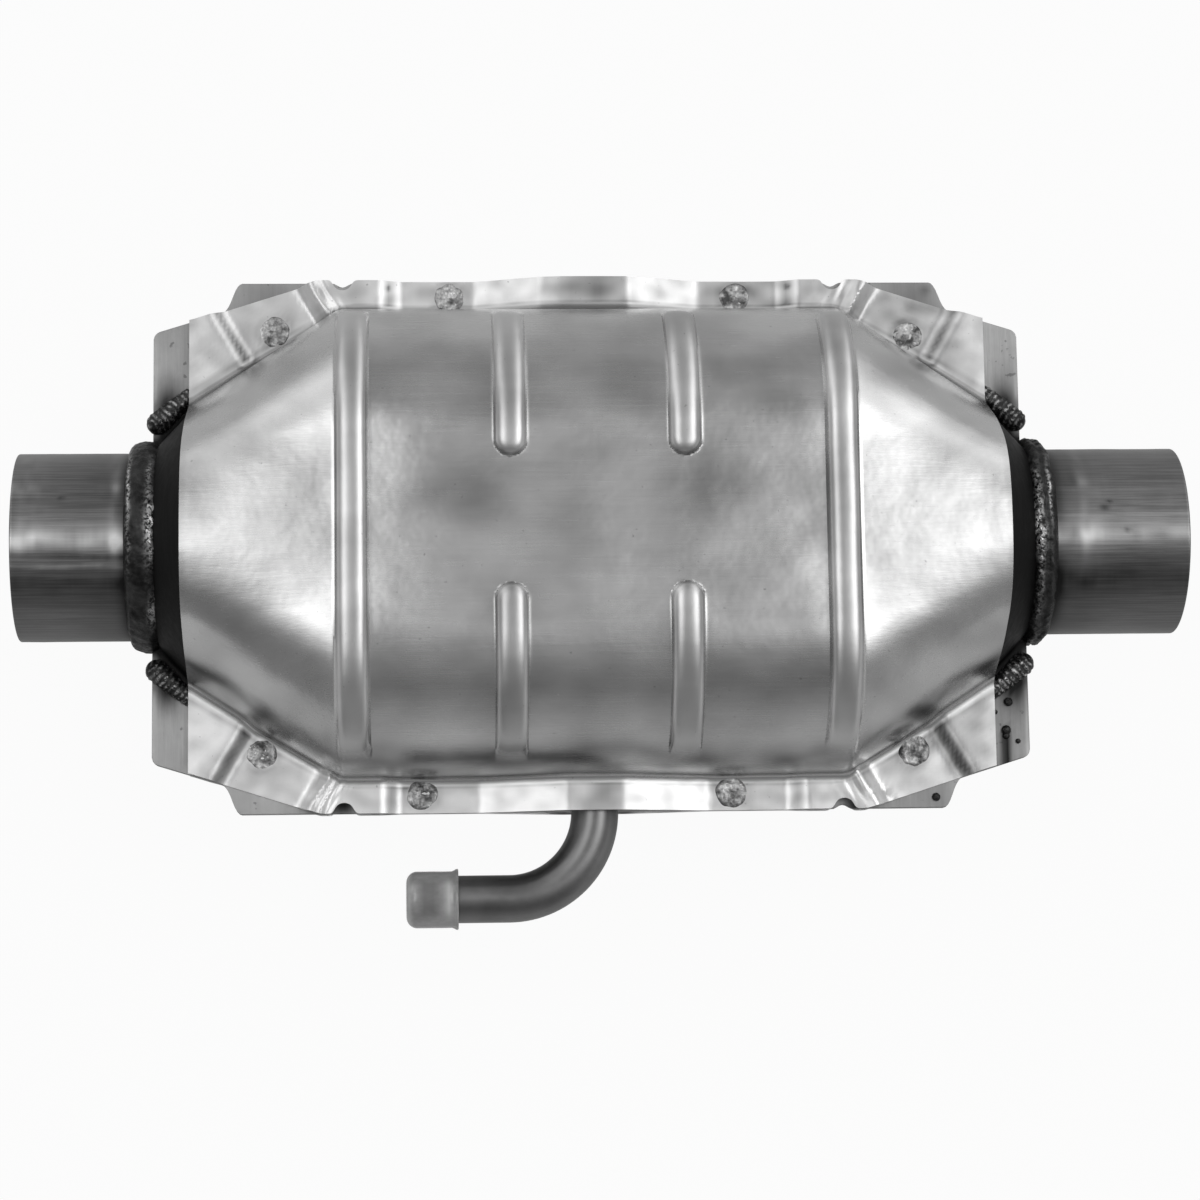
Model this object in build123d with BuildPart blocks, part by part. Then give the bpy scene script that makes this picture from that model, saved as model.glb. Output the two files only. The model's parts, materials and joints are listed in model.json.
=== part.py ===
from build123d import *
from math import atan2, cos, degrees, radians, sin, tan
import os

os.makedirs("parts", exist_ok=True)

# Catalytic converter, in millimetres. The origin is the centre of the inlet pipe's mouth,
# +X runs along the pipes to the outlet, +Z is up, and the air tube leaves on the -Y side.
# Lengths called _x are measured from the middle of the body.

# Pipes
pipe_diameter = 63.5
pipe_wall = 1.6
pipe_fit = 0.2
pipe_sizing = 0.25
inlet_stub = 42.3
outlet_stub = 48.9

# Catalyst bricks, their mats and the wire rings at the mats' edges
brick_width = 136.0
brick_height = 80.0
brick_length = 72.0
brick_side_flat = 0.6
air_chamber_length = 18.0
mat_thickness = 4.0
seal_length = 3.0
seal_setback = 3.0
packing_gap = 0.2

# Body shells, their cones and necks
shell_sheet = 1.5
brick_margin = 3.0
cone_length = 52.0
cone_end_gap = 2.6
cone_end_drop = 2.0
neck_rise_length = 11.0
neck_length = 3.5
neck_flat = 0.4
pipe_setback = 3.0

# Body flange, its edge seen from above, and how far its steps lie back
flange_reach = 11.7
ear_run = 35.8
ear_slope = 3.4
ear_step = 9.6
flange_end_run = 12.3
flange_end_step = 17.4
ear_radius = 4.5
step_radius = 4.0
end_radius = 1.5
relief_radius = 4.0
relief_depth = 1.4

# Heat shields, and the air gap between them and the body
shield_sheet = 0.9
side_air_gap = 5.4
top_air_gap = 8.5
corner_growth = 1.4
shoulder_growth = 1.0
shield_cone_length = 50.9
shield_end_width = 99.0
shield_end_height = 51.0
shield_flange = 11.9
taper_run = 7.0
taper_step = 14.0
notch_radius = 4.0
notch_depth = 3.6

# A quarter of the cone's end section, as shares of its half width and its height
cone_end_shape = [(1.0, 0.04), (0.945, 0.157), (0.808, 0.451), (0.667, 0.686), (0.56, 0.824),
                  (0.404, 0.933), (0.12, 1.0)]

# Steps of the shield's flange above the body flange
plateau_lift = 8.2
plateau_x = 11.0
plateau_foot_x = 38.5
pad_end_x = 64.0
step_top_x = 70.5
corner_lift = 3.0
fold_lift = 4.4
fold_run = 3.0
fold_foot_run = 8.0
band_start_run = 33.0
band_end_run = 37.5
end_lift = 3.8

# Ribs pressed into the shield's dome
rib_radius = 6.1
rib_sink = 2.5
long_rib_setback = 4.8
short_rib_x = 28.5
short_rib_flat = 6.0
rib_foot_angle = 14.0

# Air tube and its cap
tube_diameter = 15.9
tube_wall = 1.2
tube_fit = 0.1
tube_bend_radius = 29.0
tube_entry = 1.0
tube_end_x = 62.0
socket_setback = 2.4
cap_wall = 1.4
cap_length = 17.4
cap_fit = 0.1
cap_round = 3.5
cap_lip_length = 2.2
cap_lip_flare = 0.9

# Welds
ring_height = 4.2
inlet_ring_setback = 0.9
inlet_ring_width = 12.0
outlet_ring_setback = 0.1
outlet_ring_width = 8.0
bead_inner_clear = 3.5
bead_inner_setback = 1.5
bead_outer_clear = 8.2
bead_outer_run = 11.6
bead_inner_radius = 2.6
bead_outer_radius = 4.3
bead_end_flat = 0.8
bead_rise = 1.0
spot_radius = 5.0
spot_height = 0.4
spot_dish = 0.25
tube_weld_height = 2.2

# Spot welds: along the body, side, and distance out from the dome's crease. The upper shield's
# sit as they were made, the lower shield's in an even pattern
upper_spots = [(-107.1, 1, 7.5), (-47.6, 1, 6.0), (50.6, 1, 5.8), (110.2, 1, 7.0),
               (-111.5, -1, 7.2), (-58.0, -1, 5.6), (46.0, -1, 5.7), (108.5, -1, 6.3)]
lower_spots = [(end * x, side, out) for x, out in ((50.0, 5.9), (109.0, 7.1))
               for end in (-1, 1) for side in (-1, 1)]

# Values worked out from the ones above
pipe_radius = pipe_diameter / 2
sized_radius = pipe_radius - pipe_sizing
neck_radius = sized_radius + pipe_fit + shell_sheet
tube_radius = tube_diameter / 2
wrap = mat_thickness + 2 * packing_gap + shell_sheet
brick_corner = brick_height / 2 - brick_side_flat / 2

shell_shoulder_x = air_chamber_length / 2 + brick_length + brick_margin
cone_end_x = shell_shoulder_x + cone_length
neck_start_x = cone_end_x + neck_rise_length
neck_end_x = neck_start_x + neck_length
pipe_inner_x = cone_end_x + pipe_setback
inlet_reach_x = neck_end_x + inlet_stub
outlet_reach_x = neck_end_x + outlet_stub
body_x = inlet_reach_x

dome_width = brick_width + 2 * (wrap + side_air_gap)
dome_height = brick_height / 2 + wrap + top_air_gap
dome_corner = brick_corner + wrap + corner_growth
shoulder_x = shell_shoulder_x + shoulder_growth
shield_end_x = shoulder_x + shield_cone_length
crease_angle = atan2(dome_width / 2 - shield_end_width / 2, shield_cone_length)
notch_x = shell_shoulder_x
long_rib_x = shoulder_x - long_rib_setback
short_rib_tip = dome_width / 2 - dome_corner - short_rib_flat

flange_width = dome_width + 2 * flange_reach
shield_width = dome_width + 2 * shield_flange
socket_end_y = flange_width / 2 - socket_setback
tube_inner_y = brick_width / 2 + tube_entry
tube_exit_y = flange_width / 2
spare = 6.0


def across(x):
    # The plane across the body at x: sketch right is +Y and sketch up is +Z
    return Plane(origin=(body_x + x, 0, 0), x_dir=(0, 1, 0), z_dir=(1, 0, 0))


def from_above(z):
    # The level plane at height z over the middle of the body
    return Plane(origin=(body_x, 0, z), x_dir=(1, 0, 0), z_dir=(0, 0, 1))


def crease_y(x):
    # How far out the dome's foot is at x
    return dome_width / 2 - max(0, abs(x) - shoulder_x) * tan(crease_angle)


def cone_end(inset, drop=0):
    # The section at the cone's end: upright feet, slanting sides and a slightly domed top
    points = [Vector(wide * shield_end_width / 2, high * (shield_end_height - drop))
              for wide, high in cone_end_shape]
    ways = [Vector(0, 1)] + [(b - a).normalized() for a, b in zip(points, points[2:])] + [Vector(-1, 0)]
    inner = [point - Vector(way.Y, -way.X) * inset for point, way in zip(points, ways)]
    quarters = [[Vector(right * p.X, up * p.Y) for p in inner]
                for right, up in ((1, 1), (-1, 1), (-1, -1), (1, -1))]
    quarters = [points if i % 2 == 0 else points[::-1] for i, points in enumerate(quarters)]
    with BuildLine() as outline:
        for quarter, following in zip(quarters, quarters[1:] + quarters[:1]):
            Spline(*quarter)
            Line(quarter[-1], following[0])
    return make_face(outline.edges())


def finish(piece, name):
    piece.label = name
    export_step(piece, f"parts/{name}.step")


def mirrored_outline(corner_points):
    # A closed outline, the same in all four quarters, from one quarter's points
    right = [(x, y) for x, y in corner_points] + [(x, -y) for x, y in reversed(corner_points)]
    return right + [(-x, y) for x, y in reversed(right)]


# Body shells: an oval drum that tapers to a round neck at each end
def shell_form(inset, neck_spare):
    with BuildPart() as form:
        with BuildSketch(across(0)):
            RectangleRounded(brick_width + 2 * (wrap - inset), brick_height + 2 * (wrap - inset),
                             brick_corner + wrap - inset)
        extrude(amount=shell_shoulder_x, both=True)
        for end in (-1, 1):
            with BuildSketch(across(end * shell_shoulder_x)):
                RectangleRounded(brick_width + 2 * (wrap - inset), brick_height + 2 * (wrap - inset),
                                 brick_corner + wrap - inset)
            with BuildSketch(across(end * cone_end_x)):
                add(cone_end(shield_sheet + cone_end_gap + inset, cone_end_drop))
            loft(ruled=True)
            with BuildSketch(across(end * cone_end_x)):
                add(cone_end(shield_sheet + cone_end_gap + inset, cone_end_drop))
            with BuildSketch(across(end * neck_start_x)):
                RectangleRounded(2 * (neck_radius - inset), 2 * (neck_radius - inset),
                                 neck_radius - inset - neck_flat / 2)
            loft(ruled=True)
            with BuildSketch(across(end * (neck_start_x - neck_flat))):
                Circle(neck_radius - inset)
            extrude(amount=end * (neck_end_x - neck_start_x + neck_flat + neck_spare))
    return form.part


def flange_plate(thickness):
    # The body flange, lying on the parting plane, with reliefs at three of its shoulders
    ear_x = shell_shoulder_x + ear_run
    end_x = cone_end_x + flange_end_run
    quarter = [(ear_x, flange_width / 2), (ear_x + ear_slope, flange_width / 2 - ear_step),
               (end_x, flange_width / 2 - flange_end_step)]
    with BuildPart() as plate:
        with BuildSketch(from_above(0)) as outline:
            Polygon(*mirrored_outline(quarter), align=None)
            for x, radius in ((ear_x, ear_radius), (ear_x + ear_slope, step_radius),
                              (end_x, end_radius)):
                fillet([v for v in outline.vertices() if abs(abs(v.X) - x) < 0.01], radius)
            with Locations(*[(end * notch_x, side * (flange_width / 2 + relief_radius - relief_depth))
                             for end, side in ((-1, 1), (1, 1), (1, -1))]):
                Circle(relief_radius, mode=Mode.SUBTRACT)
        extrude(amount=thickness)
    return plate.part


with BuildPart() as upper_shell:
    add(shell_form(0, 0))
    add(flange_plate(shell_sheet))
    with BuildSketch(Plane(origin=(body_x, -socket_end_y, 0), x_dir=(1, 0, 0), z_dir=(0, 1, 0))):
        Circle(tube_radius + tube_fit + shell_sheet)
    extrude(amount=socket_end_y - brick_width / 2)
    add(shell_form(shell_sheet, spare), mode=Mode.SUBTRACT)
    with BuildSketch(Plane(origin=(body_x, -shield_width / 2, 0), x_dir=(1, 0, 0), z_dir=(0, 1, 0))):
        Circle(tube_radius + tube_fit)
    extrude(amount=shield_width / 2 - brick_width / 2, mode=Mode.SUBTRACT)
    split(bisect_by=Plane.XY, keep=Keep.TOP)
finish(upper_shell.part, "upper_shell")

with BuildPart() as lower_shell:
    mirror(upper_shell.part, about=Plane.XY)
finish(lower_shell.part, "lower_shell")


# Heat shields: a dome with tapered ends and ribs, above a flange that steps up and down
def rib(x, tip, radius):
    # A round ridge that follows the dome's top and shoulder, ending in balls
    arc_radius = dome_corner - rib_sink
    centre_y = dome_width / 2 - dome_corner
    centre_z = dome_height - dome_corner
    foot = (centre_y + arc_radius * cos(radians(rib_foot_angle)),
            centre_z + arc_radius * sin(radians(rib_foot_angle)))
    crest = dome_height - rib_sink
    with BuildPart() as ridge:
        with BuildLine(across(x)):
            Line((tip, crest), (centre_y, crest))
            CenterArc((centre_y, centre_z), arc_radius, rib_foot_angle, 90 - rib_foot_angle)
        with BuildSketch(Plane(origin=(body_x + x, tip, crest), x_dir=(1, 0, 0), z_dir=(0, 1, 0))):
            Circle(radius)
        sweep()
        with Locations((body_x + x, tip, crest), (body_x + x, *foot)):
            Sphere(radius)
    return ridge.part


def dome_form(inset):
    with BuildPart() as form:
        with BuildSketch(across(0)):
            RectangleRounded(dome_width - 2 * inset, 2 * (dome_height - inset), dome_corner - inset)
        extrude(amount=shoulder_x, both=True)
        for end in (-1, 1):
            with BuildSketch(across(end * shoulder_x)):
                RectangleRounded(dome_width - 2 * inset, 2 * (dome_height - inset), dome_corner - inset)
            with BuildSketch(across(end * shield_end_x)):
                add(cone_end(inset))
            loft(ruled=True)
            for x, tip in ((long_rib_x, 0), (short_rib_x, short_rib_tip)):
                ridge = rib(end * x, tip, rib_radius - inset)
                add(ridge)
                mirror(ridge, about=Plane.XZ)
    return form.part


def wave_block(drop):
    # Everything under the flange's stepped surface, lowered by drop
    level = shell_sheet + shield_sheet - drop
    wave = [(plateau_x, level + plateau_lift), (plateau_foot_x, level), (pad_end_x, level),
            (step_top_x, level + corner_lift), (shoulder_x + fold_run / 2, level + corner_lift)]
    corner_wave = [(-fold_foot_run, level + corner_lift), (0, level + corner_lift),
                   (fold_run, level + fold_lift), (fold_foot_run, level), (band_start_run, level),
                   (band_end_run, level + end_lift), (2 * band_end_run, level + end_lift)]
    reach = shield_width / 2 + spare
    with BuildPart() as block:
        side_view = Plane(origin=(body_x, 0, 0), x_dir=(1, 0, 0), z_dir=(0, -1, 0))
        with BuildSketch(side_view):
            left = [(-x, z) for x, z in reversed(wave)]
            far = shoulder_x + fold_run / 2
            Polygon((-far, -drop), *left, *wave, (far, -drop), align=None)
        extrude(amount=reach, both=True)
        for end in (-1, 1):
            for side in (-1, 1):
                along = Plane(origin=(body_x + end * shoulder_x, side * dome_width / 2, 0),
                              x_dir=(end * cos(crease_angle), -side * sin(crease_angle), 0),
                              z_dir=(-side * sin(crease_angle), -end * cos(crease_angle), 0))
                with BuildSketch(along):
                    Polygon((-fold_foot_run, -drop), *corner_wave, (2 * band_end_run, -drop),
                            align=None)
                extrude(amount=reach / 2, both=True)
    return block.part


with BuildPart() as upper_heat_shield:
    add(dome_form(0))
    add(wave_block(0))
    add(dome_form(shield_sheet), mode=Mode.SUBTRACT)
    add(wave_block(shield_sheet), mode=Mode.SUBTRACT)
    with BuildSketch(from_above(shell_sheet)):
        Polygon(*mirrored_outline([(shoulder_x + taper_run, shield_width / 2),
                                   (shield_end_x, shield_width / 2 - taper_step)]), align=None)
        with Locations(*[(end * notch_x, side * (shield_width / 2 + notch_radius - notch_depth))
                         for end in (-1, 1) for side in (-1, 1)]):
            Circle(notch_radius, mode=Mode.SUBTRACT)
    extrude(amount=dome_height + rib_radius, mode=Mode.INTERSECT)
finish(upper_heat_shield.part, "upper_heat_shield")

with BuildPart() as lower_heat_shield:
    mirror(upper_heat_shield.part, about=Plane.XY)
finish(lower_heat_shield.part, "lower_heat_shield")


# Pipe stubs and the weld rings that join them to the necks
for name, end, reach_x, ring_x, ring_width in (
        ("inlet", -1, inlet_reach_x, neck_end_x - inlet_ring_setback, inlet_ring_width),
        ("outlet", 1, outlet_reach_x, neck_end_x - outlet_ring_setback, outlet_ring_width)):
    free_x = ring_x + ring_width / 2
    with BuildPart() as pipe:
        for radius, start_x, stop_x in ((sized_radius, pipe_inner_x, free_x),
                                        (pipe_radius, free_x, reach_x)):
            with BuildSketch(across(end * start_x)):
                Circle(radius)
                Circle(pipe_radius - pipe_wall, mode=Mode.SUBTRACT)
            extrude(amount=end * (stop_x - start_x))
    finish(pipe.part, f"{name}_pipe")

    with BuildPart() as ring:
        with BuildSketch(Plane(origin=(body_x + end * ring_x, 0, 0))):
            with Locations((0, pipe_radius)):
                Ellipse(ring_width / 2, ring_height)
        revolve(axis=Axis.X)
        with BuildSketch(across(end * shoulder_x)):
            Circle(sized_radius)
        extrude(amount=end * reach_x, mode=Mode.SUBTRACT)
        add(shell_form(0, 0), mode=Mode.SUBTRACT)
        add(flange_plate(shell_sheet), mode=Mode.SUBTRACT)
        mirror(flange_plate(shell_sheet), about=Plane.XY, mode=Mode.SUBTRACT)
    finish(ring.part, f"{name}_pipe_weld")

# Tapered beads that close the corners between the necks and the flanges
for end_name, end in (("inlet", -1), ("outlet", 1)):
    for side_name, side in (("plain_side", 1), ("tube_side", -1)):
        with BuildPart() as bead:
            start = Vector(body_x + end * (cone_end_x - bead_inner_setback),
                           side * (shield_end_width / 2 + bead_inner_clear), shell_sheet + bead_rise)
            stop = Vector(body_x + end * (cone_end_x + bead_outer_run),
                          side * (neck_radius + bead_outer_clear), bead_rise)
            run = (stop - start).normalized()
            outwards = run.cross(Vector(0, 0, end * side))
            with BuildSketch(Plane(origin=start, x_dir=outwards, z_dir=run)):
                Circle(bead_inner_radius)
            with BuildSketch(Plane(origin=stop + run * bead_outer_radius, x_dir=outwards, z_dir=run)):
                Circle(bead_outer_radius)
            loft()
            fillet(bead.edges().sort_by(Axis(start, run))[-1], bead_outer_radius - bead_end_flat)
            add(shell_form(0, 0), mode=Mode.SUBTRACT)
            add(flange_plate(shell_sheet), mode=Mode.SUBTRACT)
            mirror(flange_plate(shell_sheet), about=Plane.XY, mode=Mode.SUBTRACT)
        finish(bead.part, f"{end_name}_{side_name}_seam_weld")

# Spot welds: shallow dished buttons on the shields' flanges
for name, spots, up in (("upper", upper_spots, 1), ("lower", lower_spots, -1)):
    centres = [(x, side * (crease_y(x) + out)) for x, side, out in spots]
    with BuildPart() as buttons:
        with BuildSketch(from_above(up * (shell_sheet + shield_sheet))):
            with Locations(*centres):
                Circle(spot_radius)
        extrude(amount=up * spot_height)
        with BuildSketch(from_above(up * (shell_sheet + shield_sheet + spot_height))):
            with Locations(*centres):
                Circle(spot_radius - 2 * spot_height)
        extrude(amount=-up * spot_dish, taper=45, mode=Mode.SUBTRACT)
    finish(buttons.part, f"{name}_spot_welds")

# Catalyst bricks, front and rear of the air chamber, each in its mat with two wire rings
for name, end in (("front", -1), ("rear", 1)):
    near = end * air_chamber_length / 2
    with BuildPart() as brick:
        with BuildSketch(across(near)):
            RectangleRounded(brick_width, brick_height, brick_corner)
        extrude(amount=end * brick_length)
    finish(brick.part, f"{name}_catalyst_brick")

    mat_start = near + end * (seal_setback + seal_length)
    mat_length = brick_length - 2 * (seal_setback + seal_length)
    for piece_name, starts, length in (
            ("support_mat", [mat_start], mat_length),
            ("mat_seals", [mat_start - end * seal_length, mat_start + end * mat_length], seal_length)):
        with BuildPart() as lining:
            for start_x in starts:
                with BuildSketch(across(start_x)):
                    for grow, mode in ((packing_gap + mat_thickness, Mode.ADD),
                                       (packing_gap, Mode.SUBTRACT)):
                        RectangleRounded(brick_width + 2 * grow, brick_height + 2 * grow,
                                         brick_corner + grow, mode=mode)
                extrude(amount=end * length)
        finish(lining.part, f"{name}_{piece_name}")

# Air tube, its weld in the socket and its cap
tube_level_y = tube_exit_y + tube_bend_radius
with BuildPart() as air_tube:
    with BuildLine():
        Line((body_x, -tube_inner_y), (body_x, -tube_exit_y))
        CenterArc((body_x - tube_bend_radius, -tube_exit_y), tube_bend_radius, 0, -90)
        Line((body_x - tube_bend_radius, -tube_level_y), (body_x - tube_end_x, -tube_level_y))
    with BuildSketch(Plane(origin=(body_x, -tube_inner_y, 0), z_dir=(0, -1, 0))):
        Circle(tube_radius)
        Circle(tube_radius - tube_wall, mode=Mode.SUBTRACT)
    sweep()
finish(air_tube.part, "air_tube")

with BuildPart() as air_tube_weld:
    with BuildSketch(Plane(origin=(body_x, -socket_end_y, 0))):
        Polygon((tube_radius, 0), (tube_radius + tube_fit + shell_sheet, 0), (tube_radius, -tube_weld_height),
                align=None)
    revolve(axis=Axis((body_x, 0, 0), (0, 1, 0)))
    add(flange_plate(shell_sheet), mode=Mode.SUBTRACT)
    mirror(flange_plate(shell_sheet), about=Plane.XY, mode=Mode.SUBTRACT)
finish(air_tube_weld.part, "air_tube_weld")

with BuildPart() as air_tube_cap:
    cap_radius = tube_radius + cap_fit + cap_wall
    closed_x = tube_end_x + cap_fit + cap_wall
    with BuildSketch(Plane(origin=(body_x - closed_x, -tube_level_y, 0), z_dir=(1, 0, 0))):
        Circle(cap_radius)
    extrude(amount=cap_length)
    fillet(air_tube_cap.edges().group_by(Axis.X)[0], cap_round)
    lip_x = closed_x - cap_length
    with BuildSketch(Plane(origin=(body_x - lip_x - cap_lip_length, -tube_level_y, 0), z_dir=(1, 0, 0))):
        Circle(cap_radius)
    extrude(amount=cap_lip_length, taper=-degrees(atan2(cap_lip_flare, cap_lip_length)))
    with BuildSketch(Plane(origin=(body_x - tube_end_x - cap_fit, -tube_level_y, 0), z_dir=(1, 0, 0))):
        Circle(tube_radius + cap_fit)
    extrude(amount=cap_length, mode=Mode.SUBTRACT)
finish(air_tube_cap.part, "air_tube_cap")
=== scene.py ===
import json
from bisect import bisect_right
from math import atan2, copysign, cos, degrees, exp, hypot, pi, radians, sin, sqrt

import bmesh
import bpy
from mathutils import Euler, Matrix, Vector, noise

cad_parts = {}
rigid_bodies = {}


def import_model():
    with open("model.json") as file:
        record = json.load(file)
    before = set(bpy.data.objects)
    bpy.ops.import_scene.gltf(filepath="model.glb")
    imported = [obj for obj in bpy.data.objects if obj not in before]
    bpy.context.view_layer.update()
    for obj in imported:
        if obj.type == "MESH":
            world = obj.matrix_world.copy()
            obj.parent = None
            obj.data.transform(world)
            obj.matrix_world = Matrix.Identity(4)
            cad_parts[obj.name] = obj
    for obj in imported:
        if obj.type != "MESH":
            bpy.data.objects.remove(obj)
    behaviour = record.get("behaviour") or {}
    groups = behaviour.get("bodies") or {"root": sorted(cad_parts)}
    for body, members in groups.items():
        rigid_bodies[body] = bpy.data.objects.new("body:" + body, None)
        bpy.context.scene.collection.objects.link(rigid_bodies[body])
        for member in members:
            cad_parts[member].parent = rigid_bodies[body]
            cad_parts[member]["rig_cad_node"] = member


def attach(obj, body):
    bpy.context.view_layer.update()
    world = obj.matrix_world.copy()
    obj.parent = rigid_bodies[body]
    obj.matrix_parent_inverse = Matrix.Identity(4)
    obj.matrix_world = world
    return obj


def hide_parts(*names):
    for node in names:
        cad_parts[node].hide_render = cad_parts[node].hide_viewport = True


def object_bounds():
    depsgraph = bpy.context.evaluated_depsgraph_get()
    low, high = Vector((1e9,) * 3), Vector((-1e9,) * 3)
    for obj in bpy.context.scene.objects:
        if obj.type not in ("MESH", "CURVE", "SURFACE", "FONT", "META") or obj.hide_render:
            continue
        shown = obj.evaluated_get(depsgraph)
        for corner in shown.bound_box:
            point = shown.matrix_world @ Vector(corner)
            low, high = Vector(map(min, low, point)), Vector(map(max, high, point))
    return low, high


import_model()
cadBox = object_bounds()

mm = 0.001
bodyX = 192.8  # the body's middle, in mm from the inlet mouth; the lengths below are measured from it


# helpers for shapes

def mix(a, b, k):
    return a + (b - a) * k


def clamp(value, low=0.0):
    return max(low, min(1, value))


def lineAt(points, x):
    # height of an open polyline at x
    if x <= points[0][0]:
        return points[0][1]
    for (x0, z0), (x1, z1) in zip(points, points[1:]):
        if x <= x1:
            return mix(z0, z1, (x - x0) / (x1 - x0))
    return points[-1][1]


def softLine(points, x, radius):
    # the same polyline with its corners rounded over the radius
    return sum(lineAt(points, x + radius * step) for step in (-1, -0.5, 0, 0.5, 1)) / 5


def noiseAt(x, y, z):
    return noise.noise((x, y, z))


def bump(distance, width):
    return exp(-(distance / width) ** 2)


def patches(marks, x, y):
    # strength of soft marks at a place; each mark has a middle, two half widths and a depth
    return sum(depth * bump(hypot((x - middleX) / wide, (y - middleY) / tall), 1)
            for middleX, middleY, wide, tall, depth in marks)


def spaced(stops):
    # positions from (start, spacing) pairs; the last pair only ends the list
    places = []
    for (start, gap), (stop, last) in zip(stops, stops[1:]):
        count = max(1, round((stop - start) / gap))
        places += [mix(start, stop, i / count) for i in range(count)]
    return places + [stops[-1][0]]


def bothWays(places):
    # the same places on both sides of the body's middle
    return [-x for x in reversed(places[1:])] + places


class Curve:
    # a section of the sheet, from its foot to the top, read by the share of its length
    def __init__(self, points):
        self.points = [Vector(p) for p in points]
        self.reach = [0]
        for a, b in zip(self.points, self.points[1:]):
            self.reach.append(self.reach[-1] + (b - a).length)
        self.length = self.reach[-1]

    def at(self, share):
        goal = clamp(share) * self.length
        after = min(bisect_right(self.reach, goal), len(self.reach) - 1)
        before = self.reach[after - 1]
        part = (goal - before) / max(1e-9, self.reach[after] - before)
        return self.points[after - 1].lerp(self.points[after], part)


def roundedSection(halfWidth, height, corner):
    # upright side, round corner, level top
    arcSteps = 40
    points = [(halfWidth, 0), (halfWidth, (height - corner) / 2)]
    for i in range(arcSteps + 1):
        angle = pi / 2 * i / arcSteps
        points.append((halfWidth - corner + corner * cos(angle), height - corner + corner * sin(angle)))
    return Curve(points + [((halfWidth - corner) / 2, height), (0, height)])


def smoothSection(knots):
    # a smooth curve through a few measured points
    steps = 8
    points = []
    for i in range(len(knots) - 1):
        p0, p1 = Vector(knots[max(i - 1, 0)]), Vector(knots[i])
        p2, p3 = Vector(knots[i + 1]), Vector(knots[min(i + 2, len(knots) - 1)])
        for j in range(steps):
            t = j / steps
            points.append(0.5 * (2 * p1 + (p2 - p0) * t + (2 * p0 - 5 * p1 + 4 * p2 - p3) * t * t
                    + (3 * p1 - p0 - 3 * p2 + p3) * t ** 3))
    return Curve(points + [Vector(knots[-1])])


# helpers for pieces

def meshFrom(name, bm):
    mesh = bpy.data.meshes.new(name)
    bm.to_mesh(mesh)
    bm.free()
    return mesh


def addObject(name, data):
    thing = bpy.data.objects.new(name, data)
    bpy.context.scene.collection.objects.link(thing)
    return thing


def modify(piece, name, kind, **settings):
    modifier = piece.modifiers.new(name, kind)
    for key, value in settings.items():
        setattr(modifier, key, value)


def keepPiece(name, bm, material, nodes=(), place=None, smooth=True, wall=0, edge=0):
    # from mm round the body's middle to metres in the shared frame, then into the scene;
    # wall is the thickness given to an open sheet, edge the width of its soft edges
    if place:
        bmesh.ops.transform(bm, matrix=place, verts=bm.verts)
    bmesh.ops.translate(bm, vec=(bodyX, 0, 0), verts=bm.verts)
    bmesh.ops.scale(bm, vec=(mm, mm, mm), verts=bm.verts)
    for face in bm.faces:
        face.smooth = smooth
    mesh = meshFrom(name, bm)
    mesh.materials.append(material)
    piece = addObject(name, mesh)
    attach(piece, "root")
    if nodes:
        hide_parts(*nodes)
    if wall:
        modify(piece, "Wall", "SOLIDIFY", thickness=wall * mm, offset=-1, use_even_offset=True)
    if edge:
        modify(piece, "Edge", "BEVEL", width=edge * mm, segments=2, limit_method="ANGLE",
               angle_limit=radians(50), harden_normals=True)


def faceOut(bm):
    bmesh.ops.recalc_face_normals(bm, faces=bm.faces)


def joinUp(bm, distance):
    bmesh.ops.remove_doubles(bm, verts=bm.verts, dist=distance)
    faceOut(bm)


def spun(profile, steps, layers, closed=True, axis=(1, 0, 0), near=1e-5):
    # turns (x, y) pairs once round an axis, joins what lies near, and adds empty layers for the stains, the
    # painted shade and the painted highlights
    bm = bmesh.new()
    made = [bm.verts.layers.float.new(layer) for layer in layers]
    verts = [bm.verts.new((x, y, 0)) for x, y in profile]
    edges = [bm.edges.new(pair) for pair in zip(verts, verts[1:])]
    if closed:
        edges.append(bm.edges.new((verts[-1], verts[0])))
    bmesh.ops.spin(bm, geom=verts + edges, axis=axis, angle=2 * pi, steps=steps, use_merge=True)
    joinUp(bm, near)
    return bm, *made


def pullEdges(bm, edges, way, steps=1):
    # draws a ring of edges out along a straight line
    for step in range(steps):
        grown = bmesh.ops.extrude_edge_only(bm, edges=edges)["geom"]
        moved = [g for g in grown if isinstance(g, bmesh.types.BMVert)]
        bmesh.ops.translate(bm, vec=Vector(way) / steps, verts=moved)
        edges = [g for g in grown if isinstance(g, bmesh.types.BMEdge) and all(v in grown for v in g.verts)]
    return edges


# materials

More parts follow.
